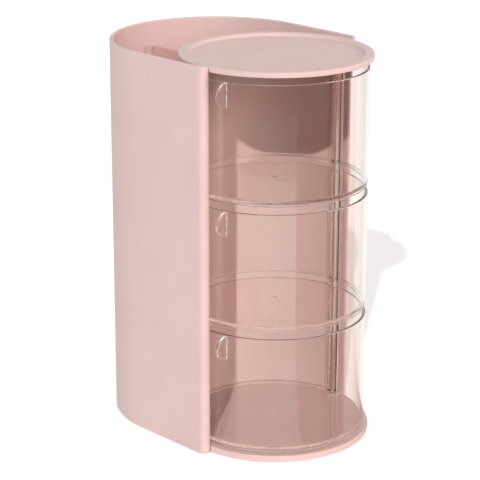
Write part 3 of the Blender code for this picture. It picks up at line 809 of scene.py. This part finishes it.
SPACER_RADIUS = 4 * MM
STEEL_EDGE = 0.4 * MM
WASHER_RADIUS = 6 * MM
WASHER_EDGE = 0.15 * MM
PAD_RADIUS = 5 * MM
PAD_EDGE = 0.3 * MM


def build_round(name, node, inner, outer, edge, material):
    # A turned piece, with a bore where its inner radius isn't zero
    low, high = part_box(node)
    corners = [(outer, high.z, edge), (outer, low.z, edge)]
    if inner:
        corners = [(inner, low.z, edge), (inner, high.z, edge)] + corners
    else:
        corners = [(0, high.z, 0)] + corners + [(0, low.z, 0)]
    bm = bmesh.new()
    turn(bm, corners, (low + high) / 2, steps=64, closed=bool(inner))
    finish_piece(name, bm, material, "body", node)


# Stage, light and camera

FLOOR_REACH = 6
FLOOR_GLOW = 0.4
# Azimuths, in degrees from straight in front to the right, and a distance,
# that bound the floor's painted reflection and its painted bright patch
FRONT_SECTOR = (-110, 69)
PAINTED_PATCH_SECTOR = (-89, -20)
PAINTED_PATCH_REACH = 0.86
# Strength of the floor's dim rosy painted reflection
PAINTED_ROSY_STRENGTH = 0.55
FILL_STRENGTH = 0.36
MIRRORED_STRENGTH = 0.8

# Name, azimuth and elevation, strength, width and colour, with all angles in
# degrees. The first is the studio's lamp, and the others are its soft walls
SUNS = (
    ("key", -52.5, 33.8, 1.9, 1.2, WHITE),
    ("right", 26, 20, 1.3, 26, "#FFE8E2"),
    ("front", -30, 8, 0.42, 50, "#FFE8E2"),
)
# A sun wider than this is sampled by lamp rays alone
WIDE_SUN = 10
CLEAR_BOUNCES = 32
DIFFUSE_BOUNCES = 8

# Fitted to the outlines in the photo
CAMERA_PLACE = Vector((-0.9751, -0.9923, 0.5985)) + CENTRE
CAMERA_LENS = 143.55
SENSOR_WIDTH = 36
CAMERA_TURN = 43.404
CAMERA_DROP = 17.788
CAMERA_ROLL = 0.066


def seen_by_eye(tree):
    # 1 for what the camera sees itself, or in clear plastic and bright metal,
    # and 0 for light that falls on the object
    path = add_node(tree, "ShaderNodeLightPath")
    clear = add_node(
        tree, "ShaderNodeMath", {"operation": "MAXIMUM"},
        {0: path.outputs["Is Camera Ray"], 1: path.outputs["Is Transmission Ray"]},
    )
    seen = add_node(
        tree, "ShaderNodeMath", {"operation": "MAXIMUM"}, {0: clear, 1: path.outputs["Is Glossy Ray"]}
    )
    return add_node(
        tree, "ShaderNodeMath", {"operation": "SUBTRACT", "use_clamp": True},
        {0: seen, 1: path.outputs["Diffuse Depth"]},
    )


def mirrored(tree):
    # 1 for what is seen in a reflection, even through clear plastic, else 0
    path = add_node(tree, "ShaderNodeLightPath")
    return add_node(
        tree, "ShaderNodeMath", {"operation": "MINIMUM"}, {0: path.outputs["Glossy Depth"]}, {1: 1}
    )


def sector(tree, angle, low, high):
    # 1 between two azimuths, else 0
    middle = math.radians(low + high) / 2
    half = math.radians(high - low) / 2
    return add_node(tree, "ShaderNodeMath", {"operation": "COMPARE"}, {0: angle}, {1: middle, 2: half})


def studio_floor(name):
    # Painted floor, rolled: matt and almost white. Seen only in reflections, it
    # glows as a painted reflection of a room that is dim and rosy in front, but
    # for a painted bright patch at its left, and white behind the object; the
    # clear walls and the rod mirror it
    material, tree, place = new_material(name)
    matt = add_node(tree, "ShaderNodeBsdfDiffuse", values={"Color": linear("#F4F4F4")})
    share = add_node(
        tree, "ShaderNodeMath", {"operation": "MULTIPLY"}, {0: seen_by_eye(tree)}, {1: FLOOR_GLOW}
    )
    glow = add_node(tree, "ShaderNodeEmission", links={"Strength": share}, values={"Color": linear(WHITE)})
    seen = add_node(tree, "ShaderNodeAddShader", links={0: matt, 1: glow})
    across = add_node(tree, "ShaderNodeSeparateXYZ", links={0: place})
    ahead = add_node(
        tree, "ShaderNodeMath", {"operation": "SUBTRACT"}, {1: across.outputs["Y"]}, {0: CENTRE.y}
    )
    angle = add_node(tree, "ShaderNodeMath", {"operation": "ARCTAN2"}, {0: across.outputs["X"], 1: ahead})
    front = sector(tree, angle, *FRONT_SECTOR)
    left = sector(tree, angle, *PAINTED_PATCH_SECTOR)
    far = add_node(tree, "ShaderNodeVectorMath", {"operation": "LENGTH"}, {0: place})
    near = add_node(
        tree, "ShaderNodeMath", {"operation": "LESS_THAN"}, {0: far.outputs["Value"]}, {1: PAINTED_PATCH_REACH}
    )
    painted_patch = add_node(tree, "ShaderNodeMath", {"operation": "MULTIPLY"}, {0: left, 1: near})
    painted_dim_share = add_node(tree, "ShaderNodeMath", {"operation": "SUBTRACT"}, {0: front, 1: painted_patch})
    # Painted reflection colours: white for the bright patch and behind the object, and a dim rosy glow in
    # front that stands in for pink light bounced inside the drawers
    white = add_node(tree, "ShaderNodeEmission", values={"Color": linear("#FFFDFB"), "Strength": 1})
    dull = add_node(
        tree, "ShaderNodeEmission", values={"Color": linear("#FFCABF"), "Strength": PAINTED_ROSY_STRENGTH}
    )
    painted_room = add_node(tree, "ShaderNodeMixShader", links={0: painted_dim_share, 1: white, 2: dull})
    mix = add_node(tree, "ShaderNodeMixShader", links={0: mirrored(tree), 1: seen, 2: painted_room})
    add_node(tree, "ShaderNodeOutputMaterial", links={"Surface": mix})
    return material


def build_floor():
    bm = bmesh.new()
    bmesh.ops.create_grid(bm, x_segments=1, y_segments=1, size=FLOOR_REACH)
    mesh = bpy.data.meshes.new("floor")
    bm.to_mesh(mesh)
    bm.free()
    mesh.materials.append(studio_floor("pale_floor_painted_reflection"))
    floor = bpy.data.objects.new("floor", mesh)
    bpy.context.scene.collection.objects.link(floor)


def build_world():
    world = bpy.data.worlds.new("studio")
    bpy.context.scene.world = world
    world.use_nodes = True
    tree = world.node_tree
    tree.nodes.clear()
    fill = add_node(
        tree, "ShaderNodeBackground", values={"Color": linear(WHITE), "Strength": FILL_STRENGTH}
    )
    white = add_node(tree, "ShaderNodeBackground", values={"Color": linear(WHITE), "Strength": 1})
    dim = add_node(
        tree, "ShaderNodeBackground", values={"Color": linear("#FFFDFB"), "Strength": MIRRORED_STRENGTH}
    )
    seen = add_node(tree, "ShaderNodeMixShader", links={0: mirrored(tree), 1: white, 2: dim})
    mix = add_node(tree, "ShaderNodeMixShader", links={0: seen_by_eye(tree), 1: fill, 2: seen})
    add_node(tree, "ShaderNodeOutputWorld", links={"Surface": mix})
    # Light from all round reaches the inside by the rays that pass the clear
    # walls, and isn't counted once more by lamp rays
    world.cycles.sampling_method = "NONE"


def build_sun(name, azimuth, elevation, strength, width, colour):
    # The clear pieces let its light through as they stand, so no bent or
    # mirrored ray counts it again
    data = bpy.data.lights.new(name, "SUN")
    data.energy = strength
    data.color = linear(colour)[:3]
    data.angle = math.radians(width)
    data.cycles.use_multiple_importance_sampling = width < WIDE_SUN
    lamp = bpy.data.objects.new(name, data)
    bpy.context.scene.collection.objects.link(lamp)
    a, e = math.radians(azimuth), math.radians(elevation)
    back = Vector((math.sin(a) * math.cos(e), -math.cos(a) * math.cos(e), math.sin(e)))
    lamp.rotation_euler = back.to_track_quat("Z", "Y").to_euler()
    lamp.visible_transmission = False
    lamp.visible_glossy = False


def set_bounces():
    # Clear walls pass light on through many reflections before it leaves them
    cycles = bpy.context.scene.cycles
    cycles.max_bounces = CLEAR_BOUNCES
    cycles.diffuse_bounces = DIFFUSE_BOUNCES
    cycles.glossy_bounces = CLEAR_BOUNCES
    cycles.transmission_bounces = CLEAR_BOUNCES
    cycles.transparent_max_bounces = CLEAR_BOUNCES


def build_camera():
    data = bpy.data.cameras.new("camera")
    data.lens = CAMERA_LENS
    data.sensor_width = SENSOR_WIDTH
    camera = bpy.data.objects.new("camera", data)
    bpy.context.scene.collection.objects.link(camera)
    turned = Matrix.Rotation(math.radians(-CAMERA_TURN), 4, "Z")
    tilted = Matrix.Rotation(math.radians(90 - CAMERA_DROP), 4, "X")
    rolled = Matrix.Rotation(math.radians(CAMERA_ROLL), 4, "Z")
    camera.matrix_world = Matrix.Translation(CAMERA_PLACE) @ turned @ tilted @ rolled
    bpy.context.scene.camera = camera


def main():
    bpy.context.scene.view_settings.view_transform = "Standard"
    build_camera()
    build_world()
    build_floor()
    for sun in SUNS:
        build_sun(*sun)
    set_bounces()
    pink = moulded_abs("moulded_abs_pink", "#DDC1BC", "#E0C5C1")
    clear = clear_styrene("clear_styrene")
    steel = polished_steel("polished_steel")
    zinc = zinc_steel("zinc_steel")
    rubber = moulded_rubber("silicone_pad")
    build_housing(pink)
    build_housing_seats(pink)
    # The panel is a lighter copy of the pink: painted light, so that the inside seen through the clear
    # drawers looks brighter
    build_panel(moulded_abs("moulded_abs_panel_painted_light", "#EBCFC9", "#EED3CE"))
    # The base is a deeper copy of the pink: painted shade for the base, which sits in shade
    build_base(moulded_abs("moulded_abs_base_painted_shade", "#DFBFB9", "#E2C3BE"))
    build_lid(pink)
    # The divider is a darker, redder copy of the pink: painted shade for the divider deep in the well
    build_divider(moulded_abs("moulded_abs_divider_painted_shade", "#DAB0A9", "#DDB6AF"))
    for tier in TIERS:
        build_cup(tier, clear)
        build_pull(tier, clear)
        build_round("steel_spacer_" + tier, "spacer_" + tier, BORE_RADIUS, SPACER_RADIUS, STEEL_EDGE, steel)
    build_round("steel_rod", "pivot_rod", 0, ROD_RADIUS, STEEL_EDGE, steel)
    washer = acetal("acetal_washer")
    build_round("washer", "thrust_washer", BORE_RADIUS, WASHER_RADIUS, WASHER_EDGE, washer)
    for number in CORNERS:
        build_screw(number, zinc)
        build_round("pad_%d" % number, "foot_pad_%d" % number, 0, PAD_RADIUS, PAD_EDGE, rubber)
    steady_normals()
    well_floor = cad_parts["well_floor"]
    well_floor.data.materials.clear()
    well_floor.data.materials.append(pink)


main()
